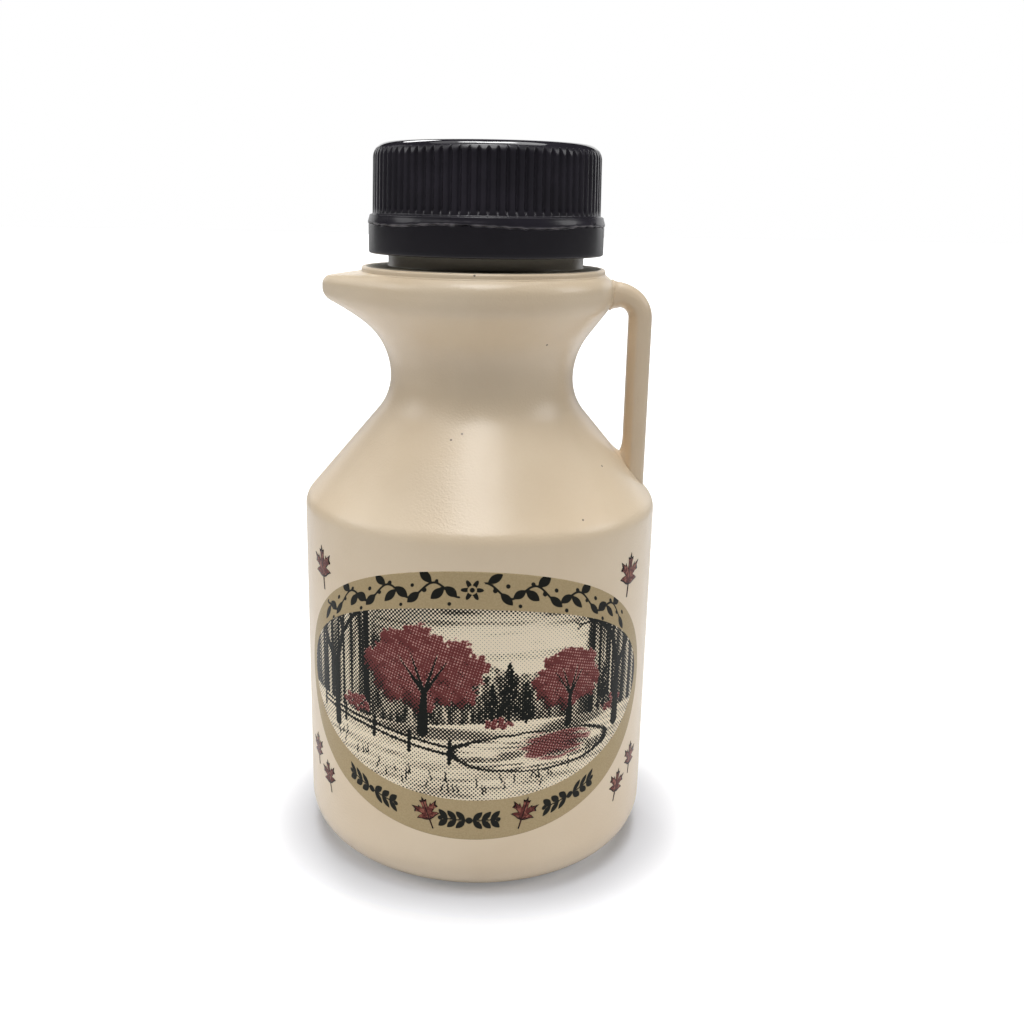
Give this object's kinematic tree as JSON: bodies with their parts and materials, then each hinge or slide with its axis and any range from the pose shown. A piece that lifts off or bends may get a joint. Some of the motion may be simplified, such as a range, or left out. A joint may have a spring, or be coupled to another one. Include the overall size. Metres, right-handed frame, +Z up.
{
  "type": "maple syrup jug",
  "caption": "Small blow-moulded syrup jug with a conical shoulder, waisted neck, beaked pouring lip and loop handle, shut by a ribbed screw cap over a separate tamper band.",
  "frame": {"origin": "middle of the base, on the surface that the jug stands on", "axes": "+Z up, +X towards the handle, -X towards the pouring lip, -Y towards the printed front"},
  "size_m": [0.064, 0.064, 0.1267],
  "materials": {
    "jug_plastic": "satin cream polyethylene with a fine pebble grain, printed round the front",
    "cap_plastic": "black polypropylene, satin ribs and a glossy top edge"
  },
  "bodies": {
    "root": {"jug": "jug_plastic", "cap": "cap_plastic", "tamper_band": "cap_plastic"}
  },
  "joints": []
}
